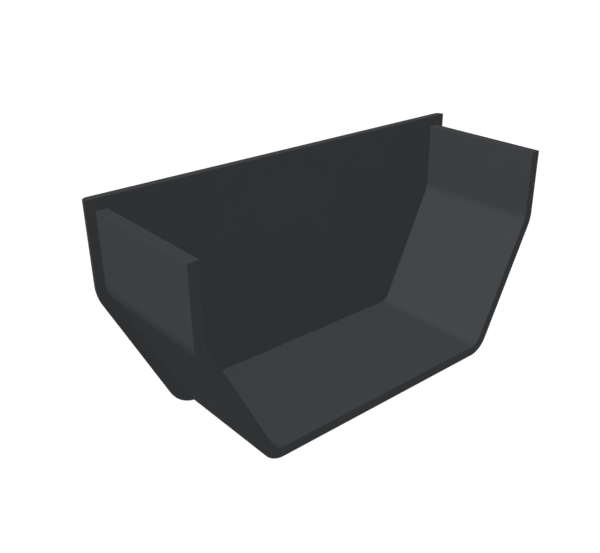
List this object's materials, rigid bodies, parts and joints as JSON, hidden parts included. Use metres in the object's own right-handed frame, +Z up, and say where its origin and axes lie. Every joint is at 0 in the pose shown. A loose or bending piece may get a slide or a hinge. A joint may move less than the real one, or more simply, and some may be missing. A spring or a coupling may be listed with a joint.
{
  "type": "gutter stop end",
  "caption": "Stop end that closes a trapezoidal rain gutter: a flat end plate with a collar that fits round the outside of the gutter.",
  "frame": {"origin": "under the middle of the part, level with the base of the end plate", "axes": "+X across the gutter, +Y along the gutter from the collar's mouth to the end plate, +Z up"},
  "size_m": [0.1376, 0.0454, 0.0725],
  "materials": {
    "moulding": "fine matt anthracite grey"
  },
  "bodies": {
    "root": {"stop_end": "moulding"}
  },
  "joints": []
}
